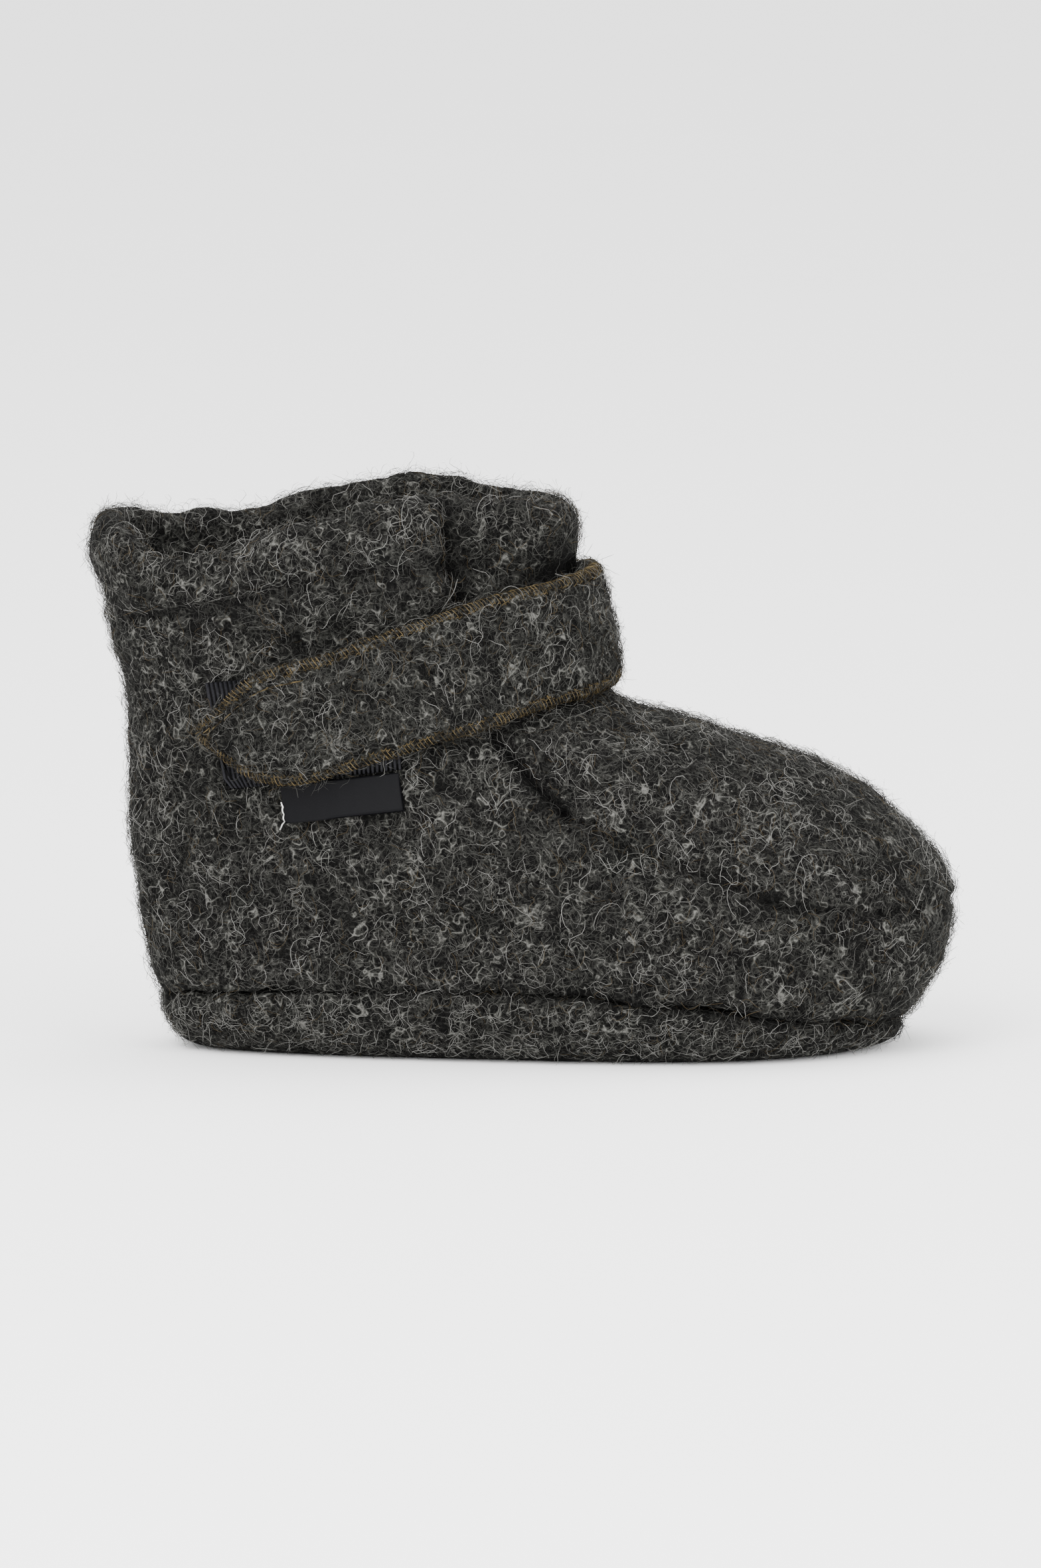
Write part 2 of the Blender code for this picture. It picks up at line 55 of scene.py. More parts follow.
# The middle of the hollow from the toe back to the ankle and up the shaft, in shares of length and height
hollowLine = ((0.33, 0.17), (0.0, 0.20), (-0.14, 0.33), (-0.20, 0.55), (-0.20, 1.0))


def arrays(mesh):
    count = len(mesh.vertices)
    places = np.empty(count * 3)
    normals = np.empty(count * 3)
    mesh.vertices.foreach_get("co", places)
    mesh.vertex_normals.foreach_get("vector", normals)
    return places.reshape(-1, 3), normals.reshape(-1, 3)


def setPlaces(mesh, places):
    mesh.vertices.foreach_set("co", places.ravel())
    mesh.update()


def linked(name, mesh):
    piece = bpy.data.objects.new(name, mesh)
    bpy.context.scene.collection.objects.link(piece)
    return piece


def settle(piece):
    graph = bpy.context.evaluated_depsgraph_get()
    graph.update()
    made = bpy.data.meshes.new_from_object(piece.evaluated_get(graph))
    piece.modifiers.clear()
    old = piece.data
    piece.data = made
    bpy.data.meshes.remove(old)


def cleanCopy(node, name):
    form = bmesh.new()
    form.from_mesh(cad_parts[node].data)
    bmesh.ops.remove_doubles(form, verts=form.verts, dist=0.01 * mm)
    mesh = bpy.data.meshes.new(name)
    form.to_mesh(mesh)
    form.free()
    return linked(name, mesh)


def triangles(piece):
    return sum(len(p.vertices) - 2 for p in piece.data.polygons)


def floatAttribute(mesh, name, values):
    layer = mesh.attributes.new(name, "FLOAT", "POINT")
    layer.data.foreach_set("value", values.astype(np.float32))


def segmentDistance(points, a, b):
    a, b = np.array(a), np.array(b)
    along = np.clip(((points - a) @ (b - a)) / max(float((b - a) @ (b - a)), 1e-12), 0, 1)
    return np.linalg.norm(points - (a + along[:, None] * (b - a)), axis=1)


def lineDistance(points, line):
    return np.min([segmentDistance(points, a, b) for a, b in zip(line, line[1:])], axis=0)


def facesOut(places, normals):
    spine = np.array([(x * footLength, 0.0, z * bootHeight) for x, z in hollowLine])
    best = np.full(len(places), 1e9)
    nearest = np.zeros_like(places)
    for a, b in zip(spine, spine[1:]):
        along = np.clip(((places - a) @ (b - a)) / float((b - a) @ (b - a)), 0, 1)
        foot = a + along[:, None] * (b - a)
        far = np.linalg.norm(places - foot, axis=1)
        closer = far < best
        best[closer] = far[closer]
        nearest[closer] = foot[closer]
    return np.einsum("ij,ij->i", places - nearest, normals) > 0


# Creases and seams. side is outer, inner or both, and path runs in millimetres of x and height as the
# bootie stands. depth and width are in millimetres, swell is the soft ridge beside it, and seam is how
# thin the pile along the line is and how dark the painted shade there is.
def crease(side, path, depth, width, swell, seam=0.0):
    return {"side": side, "path": path, "depth": depth, "width": width, "swell": swell, "seam": seam}


creases = (
    crease("outer", ((-6, 57), (-4, 54), (2.2, 46.6), (7.4, 41.6)), 2.2, 0.85, 0.5, 1.0),
    crease(
        "outer",
        ((7.4, 41.6), (17, 36.6), (30, 32.2), (42, 27), (52, 25), (66, 24.2)),
        1.15, 0.9, 0.4, 0.5,
    ),
    crease(
        "inner",
        ((4, 51.5), (17.6, 41.5), (27.4, 36.4), (40, 30), (52, 26), (66, 24.2)),
        1.4, 0.95, 0.5, 0.65,
    ),
    crease("both", ((66, 24.2), (74, 24.0)), 0.7, 0.8, 0.3, 0.35),
    crease(
        "both",
        ((-64, 72.5), (-52, 74.6), (-36, 79.0), (-24, 81.0), (-13, 81.0)),
        0.9, 1.2, 0.35, 0.35,
    ),
    crease("outer", ((-44, 67.4), (-35, 69.4), (-27, 71.0)), 1.2, 2.4, 0.3),
    crease("outer", ((-60, 70.5), (-50, 71.2), (-42, 70.2)), 0.6, 2.2, 0.3),
    crease("outer", ((-63, 45), (-52, 41), (-42, 34.5)), 0.7, 2.6, 0.3),
    crease("outer", ((-58, 27), (-40, 24), (-26, 25.5)), 0.6, 2.8, 0.3),
    crease("outer", ((-22, 23.5), (-12, 22.0), (-4, 24.5)), 1.1, 2.6, 0.4),
    crease("outer", ((-6, 34), (8, 29), (22, 24.0)), 0.6, 2.8, 0.3),
    crease("outer", ((24, 20), (38, 17), (52, 15.0)), 0.6, 2.4, 0.3),
    crease("outer", ((10, 53), (17, 54), (25, 52.0)), 1.0, 2.2, 0.4),
    crease("inner", ((-22, 88), (-19, 80), (-20, 72)), 1.2, 1.4, 0.5),
    crease("inner", ((-60, 40), (-46, 36), (-34, 28)), 0.8, 2.8, 0.3),
    crease("inner", ((-20, 34), (-4, 28), (14, 25)), 0.8, 2.8, 0.3),
    crease("both", ((16, 59.5), (19, 58.6), (22, 57.6)), 0.9, 1.6, 0.0),
)


solidTrees = {}
for nodeName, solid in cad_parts.items():
    corners = [v.co.copy() for v in solid.data.vertices]
    solidTrees[nodeName] = BVHTree.FromPolygons(corners, [tuple(f.vertices) for f in solid.data.polygons])


def coveredBy(places, normals, nodes, reach):
    hidden = np.zeros(len(places))
    for i, (place, normal) in enumerate(zip(places, normals)):
        start, direction = Vector(place) + Vector(normal) * 0.02 * mm, Vector(normal)
        if any(solidTrees[node].ray_cast(start, direction, reach * mm)[0] for node in nodes):
            hidden[i] = 1
    return hidden


def nearTo(places, nodes, reach):
    near = np.full(len(places), 1e3)
    for i, place in enumerate(places):
        for node in nodes:
            found = solidTrees[node].find_nearest(Vector(place), reach * mm)
            if found[0] is not None:
                near[i] = min(near[i], found[3] / mm)
    return near


# How the collar's rim lies off the plain last, in millimetres: place along x, near side, far side
rimLie = (
    (-72, 1.0, 1.4),
    (-66, 1.3, 2.4),
    (-60, 0.5, 6.0),
    (-54, 0.0, 4.2),
    (-48, -1.0, 0.4),
    (-42, -2.0, -1.0),
    (-36, -1.7, -1.0),
    (-30, -1.5, -1.3),
    (-24, -0.3, -0.7),
    (-18, 0.3, 0.8),
    (-8, -0.4, 0.4),
    (0, -0.4, -0.4),
    (6, -1.0, -1.0),
    (12, -2.0, -2.0),
)


def layRim(piece):
    places, _ = arrays(piece.data)
    table = np.array(rimLie)
    x, y, z = places.T / mm
    far = np.clip((y + 8) / 16, 0, 1)
    high = np.clip((z - 70) / 16, 0, 1)
    high = high * high * (3 - 2 * high)
    lie = np.interp(x, table[:, 0], table[:, 1]) * (1 - far) + np.interp(x, table[:, 0], table[:, 2]) * far
    places[:, 2] += lie * high * mm
    setPlaces(piece.data, places)


# How the felt meets the floor and its neighbours, in millimetres. join, brow and lap are soft swells
# where the tongue is sewn on, along the rim and over the tongue: the height they start at, rise, width.
reliefLook = {
    "floorBand": 2.5,
    "underReach": 4.5,
    "besideReach": 6.0,
    "farFrom": 4,
    # below this height the painted shade along a neighbour is at full strength
    "seamBelow": 16,
    "join": (66, 0.8, 1.2),
    "brow": (86, 0.7, 1.6),
    "lap": (72, 0.9, 2.2),
}


def hill(distance, width):
    return np.exp(-((distance / width) ** 2))


def relief(piece, node, look):
    mesh = piece.data
    places, normals = arrays(mesh)
    outside = facesOut(places, normals)
    flat = places[:, [0, 2]] / mm
    shift = np.zeros(len(places))
    bareAndShade = np.zeros(len(places))
    for fold in creases if look["creased"] else ():
        far = lineDistance(flat, fold["path"]) / fold["width"]
        on = outside.copy()
        if fold["side"] != "both":
            on &= (places[:, 1] < 0) == (fold["side"] == "outer")
        dent = -fold["depth"] * hill(far, 1) + fold["swell"] * hill(far - 2.4, 1.1)
        shift += np.where(on, dent, 0)
        # Along each seam the pile is thinned, and the felt and pile are darkened there as painted shade
        bareAndShade = np.maximum(bareAndShade, np.where(on, fold["seam"] * hill(far, 1.05), 0))
    for size, height in look["lumps"]:
        at = places / (size * mm)
        shift += height * np.array([noise.noise(Vector(p) + Vector(look["offset"])) for p in at])
    high = places[:, 2] / mm
    nearSide = places[:, 1] < 0
    farSide = places[:, 1] > reliefLook["farFrom"] * mm
    low = np.clip(high / reliefLook["floorBand"], 0, 1)
    shift = np.where(high < reliefLook["floorBand"], shift * low, shift)
    covered = coveredBy(places, normals, look["under"], reliefLook["underReach"])
    close = nearTo(places, look["beside"], reliefLook["besideReach"])
    pressed = (covered > 0) | (nearTo(places, look["under"], 1.5) < 1.5)
    shift = np.where(pressed, np.minimum(shift, 0), shift)
    depth, spread = look["recess"]
    shift -= np.where(outside & nearSide, depth * hill(close, spread), 0)
    swells = [("join", outside & farSide, close), ("brow", farSide, close)]
    if node == "upper":
        swells.append(("lap", outside & nearSide, nearTo(places, ("tongue",), 4.0)))
    for kind, where, distance in swells:
        above, rise, width = reliefLook[kind]
        shift += np.where(where & (high > above), rise * hill(distance, width), 0)
    # Painted shade along the pieces it is sewn beside: felt and pile darken there and the pile thins, more
    # towards the front and fully low near the sole
    ahead = places[:, 0] / mm
    share = np.clip((ahead + 25) / 55, 0.15, 0.8) * (1 - 0.55 * np.clip((ahead - 46) / 12, 0, 1))
    share = np.where(high < reliefLook["seamBelow"], share, 1)
    bareAndShade = np.maximum(bareAndShade, np.where(outside, share * hill(close, spread), 0))
    places = places + normals * (shift * mm)[:, None]
    places[:, 2] = np.maximum(places[:, 2], 0.0)
    setPlaces(mesh, places)
    floatAttribute(mesh, "outside", outside.astype(float))
    floatAttribute(mesh, "bareAndShade", bareAndShade)
    floatAttribute(mesh, "covered", covered)


def woolForm(node, name, look):
    piece = cleanCopy(node, name)
    remesh = piece.modifiers.new("felted", "REMESH")
    remesh.mode = "VOXEL"
    remesh.voxel_size = look["voxel"] * mm
    soft = piece.modifiers.new("soft", "SMOOTH")
    soft.factor = 0.5
    soft.iterations = look["softness"]
    settle(piece)
    if node in ("upper", "tongue"):
        layRim(piece)
    relief(piece, node, look)
    piece.data.shade_smooth()
    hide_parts(node)
    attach(piece, "root")
    return piece


# Shader groups shared by the wool's materials

def group(name, sockets):
    tree = bpy.data.node_groups.new(name, "ShaderNodeTree")
    for label, direction, kind in sockets:
        tree.interface.new_socket(label, in_out=direction, socket_type=kind)
    return tree, tree.nodes.new("NodeGroupInput"), tree.nodes.new("NodeGroupOutput")


def ramp(tree, stops, interpolation="LINEAR"):
    node = tree.nodes.new("ShaderNodeValToRGB")
    node.color_ramp.interpolation = interpolation
    while len(node.color_ramp.elements) < len(stops):
        node.color_ramp.elements.new(0.5)
    for element, (at, colour) in zip(node.color_ramp.elements, stops):
        element.position = at
        element.color = (*colour, 1.0)
    return node


# Fibre colours as linear light, each used from its share of the pile up, and sizes in millimetres
pileLook = {
    "tones": (
        (0.00, (0.0025, 0.0025, 0.0024)),
        (0.22, (0.0080, 0.0080, 0.0073)),
        (0.40, (0.0340, 0.0250, 0.0130)),
        (0.45, (0.0190, 0.0190, 0.0173)),
        (0.68, (0.0430, 0.0427, 0.0392)),
        (0.86, (0.1030, 0.1020, 0.0955)),
    ),
    "width": 0.059,
    "length": (3.8, 7.6),
    "segments": 7,
    "variants": 24,
}


def mathNode(tree, operation, first, second=None, clamp=False):
    node = tree.nodes.new("ShaderNodeMath")
    node.operation = operation
    node.use_clamp = clamp
    for socket, value in zip(node.inputs, (first, second)):
        if isinstance(value, (int, float)):
            socket.default_value = value
        elif value is not None:
            tree.links.new(value, socket)
    return node.outputs[0]


def noiseNode(tree, place, scale, detail=0.0, distortion=0.0):
    node = tree.nodes.new("ShaderNodeTexNoise")
    node.inputs["Detail"].default_value = detail
    node.inputs["Distortion"].default_value = distortion
    tree.links.new(place, node.inputs["Vector"])
    if isinstance(scale, (int, float)):
        node.inputs["Scale"].default_value = scale
    else:
        tree.links.new(scale, node.inputs["Scale"])
    return node.outputs["Fac"]


def strandGroup():
    tree, inputs, outputs = group(
        "strands",
        (
            ("Place", "INPUT", "NodeSocketVector"),
            ("Scale", "INPUT", "NodeSocketFloat"),
            ("Width", "INPUT", "NodeSocketFloat"),
            ("Line", "OUTPUT", "NodeSocketFloat"),
        ),
    )
    place, scale = inputs.outputs["Place"], inputs.outputs["Scale"]
    waves = noiseNode(tree, place, scale, 0.6, 0.7)
    off = mathNode(tree, "ABSOLUTE", mathNode(tree, "SUBTRACT", waves, 0.5))
    line = mathNode(tree, "SUBTRACT", 1.0, mathNode(tree, "DIVIDE", off, inputs.outputs["Width"]), True)
    part = noiseNode(tree, place, mathNode(tree, "MULTIPLY", scale, 0.45), 1.0)
    shown = mathNode(tree, "MULTIPLY", mathNode(tree, "SUBTRACT", part, 0.40), 6.0, True)
    tree.links.new(mathNode(tree, "MULTIPLY", line, shown), outputs.inputs["Line"])
    return tree


# Curled strands under the pile: size of curl and width of line as the noise sees them, and brightness
strandLook = (
    (400, 0.048, 1.0),
    (540, 0.055, 0.66),
    (700, 0.065, 0.54),
    (480, 0.045, 0.84),
    (880, 0.085, 0.38),
)
feltLook = {
    "deep": (0.0010, 0.0010, 0.0010),
    "dark": (0.0040, 0.0040, 0.0037),
    "middle": (0.020, 0.020, 0.0180),
    "light": (0.100, 0.099, 0.091),
}


def melangeGroup():
    tree, inputs, outputs = group(
        "melange",
        (
            ("Place", "INPUT", "NodeSocketVector"),
            ("BareAndShade", "INPUT", "NodeSocketFloat"),
            ("Color", "OUTPUT", "NodeSocketColor"),
            ("Height", "OUTPUT", "NodeSocketFloat"),
        ),
    )
    strands = strandGroup()
    highest = None
    for i, (scale, width, bright) in enumerate(strandLook):
        moved = tree.nodes.new("ShaderNodeVectorMath")
        moved.operation = "ADD"
        moved.inputs[1].default_value = (0.37 * i, 0.91 * i, 0.53 * i)
        tree.links.new(inputs.outputs["Place"], moved.inputs[0])
        layer = groupNode(tree, strands)
        tree.links.new(moved.outputs[0], layer.inputs["Place"])
        layer.inputs["Scale"].default_value = scale
        layer.inputs["Width"].default_value = width
        level = mathNode(tree, "MULTIPLY", layer.outputs["Line"], bright)
        highest = level if highest is None else mathNode(tree, "MAXIMUM", highest, level)
    fine = mathNode(tree, "SUBTRACT", noiseNode(tree, inputs.outputs["Place"], 1700, 4.0, 0.8), 0.35)
    patches = mathNode(tree, "ADD", noiseNode(tree, inputs.outputs["Place"], 130, 2.0), 0.25)
    base = mathNode(tree, "MULTIPLY", fine, patches)
    total = mathNode(tree, "ADD", mathNode(tree, "MULTIPLY", highest, 0.72), base)
    # Painted shade: the felt's colour darkens along seams and where it meets its neighbours
    unshaded = mathNode(tree, "SUBTRACT", 1.0, mathNode(tree, "MULTIPLY", inputs.outputs["BareAndShade"], 0.85))
    shown = mathNode(tree, "MULTIPLY", total, unshaded)
    tones = ((0.0, "deep"), (0.18, "dark"), (0.46, "middle"), (0.85, "light"))
    colours = ramp(tree, [(at, feltLook[tone]) for at, tone in tones])
    tree.links.new(shown, colours.inputs["Fac"])
    tree.links.new(colours.outputs["Color"], outputs.inputs["Color"])
    tree.links.new(total, outputs.inputs["Height"])
    return tree


def plainMaterial(name):
    made = bpy.data.materials.new(name)
    made.use_nodes = True
    return made, made.node_tree, made.node_tree.nodes["Principled BSDF"]


def groupNode(tree, inner):
    node = tree.nodes.new("ShaderNodeGroup")
    node.node_tree = inner
    return node


def bumped(tree, shader, height, strength, distance):
    bump = tree.nodes.new("ShaderNodeBump")
    bump.inputs["Strength"].default_value = strength
    bump.inputs["Distance"].default_value = distance * mm
    tree.links.new(height, bump.inputs["Height"])
    tree.links.new(bump.outputs["Normal"], shader.inputs["Normal"])


def finished(made, shader, roughness, specular):
    shader.inputs["Roughness"].default_value = roughness
    shader.inputs["Specular IOR Level"].default_value = specular
    return made


def woolMaterial(name, melange):
    made, tree, shader = plainMaterial(name)
    place = tree.nodes.new("ShaderNodeTexCoord")
    felt = groupNode(tree, melange)
    tree.links.new(place.outputs["Object"], felt.inputs["Place"])
    # The felt's colour is darkened by the painted shade attribute
    bareAndShade = tree.nodes.new("ShaderNodeAttribute")
    bareAndShade.attribute_name = "bareAndShade"
    tree.links.new(bareAndShade.outputs["Fac"], felt.inputs["BareAndShade"])
    tree.links.new(felt.outputs["Color"], shader.inputs["Base Color"])
    bumped(tree, shader, felt.outputs["Height"], 0.8, 0.5)
    return finished(made, shader, 0.95, 0.04)


def pileMaterial():
    made, tree, shader = plainMaterial("woolPile")
    tone = tree.nodes.new("ShaderNodeAttribute")
    tone.attribute_name = "tone"
    colours = ramp(tree, pileLook["tones"], "CONSTANT")
    tree.links.new(tone.outputs["Fac"], colours.inputs["Fac"])
    tree.links.new(colours.outputs["Color"], shader.inputs["Base Color"])
    return finished(made, shader, 0.7, 0.06)


# The pile: a few curled ribbons, scattered over the felt

def ribbon(name, centre, width, twist, chance):
    points, faces = [], []
    turn = chance.uniform(-1.5, 1.5)
    for i, here in enumerate(centre):
        ahead = centre[min(i + 1, len(centre) - 1)] - centre[max(i - 1, 0)]
        ahead.normalize()
        across = ahead.cross(Vector((0, 0, 1))).normalized()
        side = across * math.cos(turn) + across.cross(ahead) * math.sin(turn)
        turn += twist
        taper = 1.0 if i < len(centre) - 1 else 0.35
        points += [here + side * width * taper / 2, here - side * width * taper / 2]
        if i:
            faces.append((2 * i - 2, 2 * i - 1, 2 * i + 1, 2 * i))
    mesh = bpy.data.meshes.new(name)
    mesh.from_pydata(points, [], faces)
    mesh.shade_smooth()
    return bpy.data.objects.new(name, mesh)


def fibreShapes():
    chance = random.Random(11)
    shapes = bpy.data.collections.new("fibreShapes")
    steps = pileLook["segments"]
    for k in range(pileLook["variants"]):
        stray = k % 3 == 2
        length = chance.uniform(*pileLook["length"]) * (0.75 if stray else 1.0)
        spans = ((0.25, 0.95), (0.3, 1.9), (0, 2 * math.pi))
        bends = [tuple(chance.uniform(*span) for span in spans) for _ in range(3)]
        bias = chance.choice((-1, 1)) * chance.uniform(0.0, 0.45)
        rise = chance.uniform(0.45, 1.05)
        heading = chance.uniform(0, 2 * math.pi)
        at = Vector((0, 0, 0))
        centre = []
        for i in range(steps + 1):
            t = i / steps
            at.z = -0.2 + rise * math.sin(math.pi * t) ** 0.7 + 0.14 * math.sin(9 * t + k)
            if stray:
                at.z = -0.2 + 1.7 * rise * t**1.3
            centre.append(at.copy())
            curl = sum(a * math.sin(2 * math.pi * f * t + p) for a, f, p in bends)
            heading += (bias + curl) * length / steps
            at.x += math.cos(heading) * length / steps
            at.y += math.sin(heading) * length / steps
        middle = sum(centre, Vector()) / len(centre) if not stray else centre[0].copy()
        middle.z = 0
        path = [(p - middle) * mm for p in centre]
        twist = chance.uniform(-0.12, 0.12)
        shapes.objects.link(ribbon(f"fibre{k}", path, pileLook["width"] * mm, twist, chance))
    return shapes


def nodesTree(name, sockets):
    tree = bpy.data.node_groups.new(name, "GeometryNodeTree")
    tree.interface.new_socket("Geometry", in_out="INPUT", socket_type="NodeSocketGeometry")
    for label, kind in sockets:
        tree.interface.new_socket(label, in_out="INPUT", socket_type=kind)
    tree.interface.new_socket("Geometry", in_out="OUTPUT", socket_type="NodeSocketGeometry")
    return tree, tree.nodes.new("NodeGroupInput"), tree.nodes.new("NodeGroupOutput")


def pileTree():
    tree, inputs, outputs = nodesTree(
        "pile",
        (
            ("Density", "NodeSocketFloat"),
            ("Seed", "NodeSocketInt"),
            ("Smallest", "NodeSocketFloat"),
            ("Largest", "NodeSocketFloat"),
            ("Lean", "NodeSocketFloat"),
            ("Shapes", "NodeSocketCollection"),
            ("Material", "NodeSocketMaterial"),
        ),
    )
    link, new = tree.links.new, tree.nodes.new
    growth = new("GeometryNodeInputNamedAttribute")
    growth.data_type = "FLOAT"
    growth.inputs["Name"].default_value = "growth"
    thick = mathNode(tree, "MULTIPLY", growth.outputs["Attribute"], inputs.outputs["Density"])
    scatter = new("GeometryNodeDistributePointsOnFaces")
    scatter.distribute_method = "RANDOM"
    link(inputs.outputs["Geometry"], scatter.inputs["Mesh"])
    link(thick, scatter.inputs["Density"])
    link(inputs.outputs["Seed"], scatter.inputs["Seed"])
    shapes = new("GeometryNodeCollectionInfo")
    shapes.inputs["Separate Children"].default_value = True
    shapes.inputs["Reset Children"].default_value = True
    link(inputs.outputs["Shapes"], shapes.inputs["Collection"])

    def chanceNode(low, high):
        node = new("FunctionNodeRandomValue")
        node.data_type = "FLOAT"
        for socket, value in ((node.inputs[2], low), (node.inputs[3], high)):
            if isinstance(value, float):
                socket.default_value = value
            else:
                link(value, socket)
        link(inputs.outputs["Seed"], node.inputs["Seed"])
        return node.outputs[1]

    minus = mathNode(tree, "MULTIPLY", inputs.outputs["Lean"], -1.0)
    tilt = new("ShaderNodeCombineXYZ")
    link(chanceNode(minus, inputs.outputs["Lean"]), tilt.inputs["X"])
    link(chanceNode(0.0, 2 * math.pi), tilt.inputs["Z"])
    turned = new("FunctionNodeEulerToRotation")
    link(tilt.outputs[0], turned.inputs[0])
    rotate = new("FunctionNodeRotateRotation")
    rotate.rotation_space = "LOCAL"
    link(scatter.outputs["Rotation"], rotate.inputs["Rotation"])
    link(turned.outputs[0], rotate.inputs["Rotate By"])
    place = new("GeometryNodeInstanceOnPoints")
    place.inputs["Pick Instance"].default_value = True
    link(scatter.outputs["Points"], place.inputs["Points"])
    link(shapes.outputs[0], place.inputs["Instance"])
    link(rotate.outputs[0], place.inputs["Rotation"])
    link(chanceNode(inputs.outputs["Smallest"], inputs.outputs["Largest"]), place.inputs["Scale"])
    tone = new("GeometryNodeStoreNamedAttribute")
    tone.domain = "INSTANCE"
    tone.data_type = "FLOAT"
    tone.inputs["Name"].default_value = "tone"
    link(place.outputs[0], tone.inputs["Geometry"])
    # The stored tone is random, times the felt's tone with its painted shade
    toneAndShade = new("GeometryNodeInputNamedAttribute")
    toneAndShade.data_type = "FLOAT"
    toneAndShade.inputs["Name"].default_value = "toneAndShade"
    link(mathNode(tree, "MULTIPLY", chanceNode(0.0, 1.0), toneAndShade.outputs["Attribute"]), tone.inputs["Value"])
    real = new("GeometryNodeRealizeInstances")
    link(tone.outputs[0], real.inputs[0])
    paint = new("GeometryNodeSetMaterial")
    link(real.outputs[0], paint.inputs["Geometry"])
    link(inputs.outputs["Material"], paint.inputs["Material"])
    link(paint.outputs[0], outputs.inputs["Geometry"])
    return tree


def applyTree(piece, tree, values):
    modifier = piece.modifiers.new(tree.name, "NODES")
    modifier.node_group = tree
    for item in tree.interface.items_tree:
        if item.in_out == "INPUT" and item.name in values:
            modifier[item.identifier] = values[item.name]
    settle(piece)


def drift(places, size):
    return np.array([noise.noise(Vector(p) / (size * mm)) for p in places])


def growPile(form, name, look, tree, shapes):
    places, normals = arrays(form.data)
    read = {}
    for label in ("outside", "bareAndShade", "covered"):
        read[label] = np.empty(len(places))
        form.data.attributes[label].data.foreach_get("value", read[label])
    if look["part"] == "outside":
        rim = (np.abs(normals[:, 2]) > 0.3) & (places[:, 2] > 0.42 * bootHeight)
        growth = np.maximum(read["outside"], rim) * (1 - 0.82 * read["bareAndShade"])
    else:
        growth = (1 - read["outside"]) * np.clip((places[:, 2] - 40 * mm) / (30 * mm), 0.06, 1)
    growth *= (1 - read["covered"]) * np.clip((places[:, 2] - 0.6 * mm) / (1.5 * mm), 0, 1)
    growth *= (normals[:, 2] > -0.8) | (places[:, 2] > 12 * mm)
    growth *= 0.85 + 0.35 * drift(places, 5)
    if look["where"]:
        growth *= look["where"](places)
    source = form.data.copy()
    floatAttribute(source, "growth", growth)
    # The pile's tone: random cloudy brightness, darkened as painted shade along seams and neighbours
    cloudy = 0.2 * drift(places, 11) + 0.22 * drift(places, 4)
    bright = np.clip(look["tone"] + cloudy, 0.3, 1.3)
    floatAttribute(source, "toneAndShade", (1 - 0.8 * read["bareAndShade"]) * bright)
    pile = linked(name, source)
    smallest, largest = look["sizes"]
    values = {"Density": look["density"] * 1e6, "Seed": look["seed"], "Lean": look["lean"]}
    values |= {"Smallest": smallest, "Largest": largest, "Shapes": shapes, "Material": look["material"]}
    applyTree(pile, tree, values)
    places, _ = arrays(pile.data)
    places[:, 2] = np.maximum(places[:, 2], 0.15 * mm)
    setPlaces(pile.data, places)
    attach(pile, "root")
    print("pile", name, triangles(pile), "triangles")


# The strap's overlocked edge and the second row near its tip, with sizes in millimetres. rowFrom and
# ankle are places along the foot, as shares of its length.
overlockLook = {
    "pitch": 0.7,
    "radius": 0.08,
    "colour": (0.050, 0.037, 0.017),
    "rowInset": 2.9,
    "rowPitch": 2.4,
    "rowRise": 0.35,
    "rowFrom": -0.26,
    "seatInset": 1.2,
    "ankle": -0.195,
}


def outerLoop(node):
    form = bmesh.new()
    form.from_mesh(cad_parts[node].data)
    bmesh.ops.remove_doubles(form, verts=form.verts, dist=0.01 * mm)
    form.normal_update()
    axis = Vector((overlockLook["ankle"] * footLength, 0, 0))
    outer = set()
    for face in form.faces:
        away = face.calc_center_median() - axis
        away.z = 0
        if face.normal.dot(away.normalized()) > 0.6:
            outer.add(face)
    onward = {}
    for face in form.faces:
        for corner in face.loops if face in outer else ():
            if corner.link_loop_radial_next.face not in outer:
                onward[corner.vert] = (corner.link_loop_next.vert, face.normal.copy())
    best = []
    while onward:
        vert = next(iter(onward))
        ring = []
        while vert in onward:
            following, normal = onward.pop(vert)
            ring.append((vert.co.copy(), normal))
            vert = following
        if len(ring) > len(best):
            best = ring
    form.free()
    return best


def evenly(ring, pitch):
    closed = [p for p, _ in ring] + [ring[0][0]]
    normals = np.array([n for _, n in ring] + [ring[0][1]])
    lengths = [0.0]
    for a, b in zip(closed, closed[1:]):
        lengths.append(lengths[-1] + (b - a).length)
    wanted = np.linspace(0, lengths[-1], int(lengths[-1] / pitch), endpoint=False)

    def spread(values):
        return np.stack([np.interp(wanted, lengths, values[:, k]) for k in range(3)], 1)

    return spread(np.array(closed)), spread(normals)


def thread(points, faces, path, radius, sides=3):
    first = len(points)
    for i, here in enumerate(path):
        ahead = (path[min(i + 1, len(path) - 1)] - path[max(i - 1, 0)]).normalized()
        side = ahead.cross(Vector((0.3, 0.2, 1))).normalized()
        up = side.cross(ahead)
        for k in range(sides):
            turn = 2 * math.pi * k / sides
            points.append(here + (side * math.cos(turn) + up * math.sin(turn)) * radius)
        if i:
            for k in range(sides):
                a, b = first + (i - 1) * sides + k, first + (i - 1) * sides + (k + 1) % sides
                faces.append((a, b, b + sides, a + sides))
    faces.append(tuple(first + k for k in reversed(range(sides))))
    faces.append(tuple(len(points) - sides + k for k in range(sides)))


def stitchShape(name, strands, radius):
    points, faces = [], []
    for strand in strands:
        thread(points, faces, [Vector(p) * mm for p in strand], radius * mm)
    mesh = bpy.data.meshes.new(name)
    mesh.from_pydata(points, [], faces)
    mesh.shade_smooth()
    return bpy.data.objects.new(name, mesh)


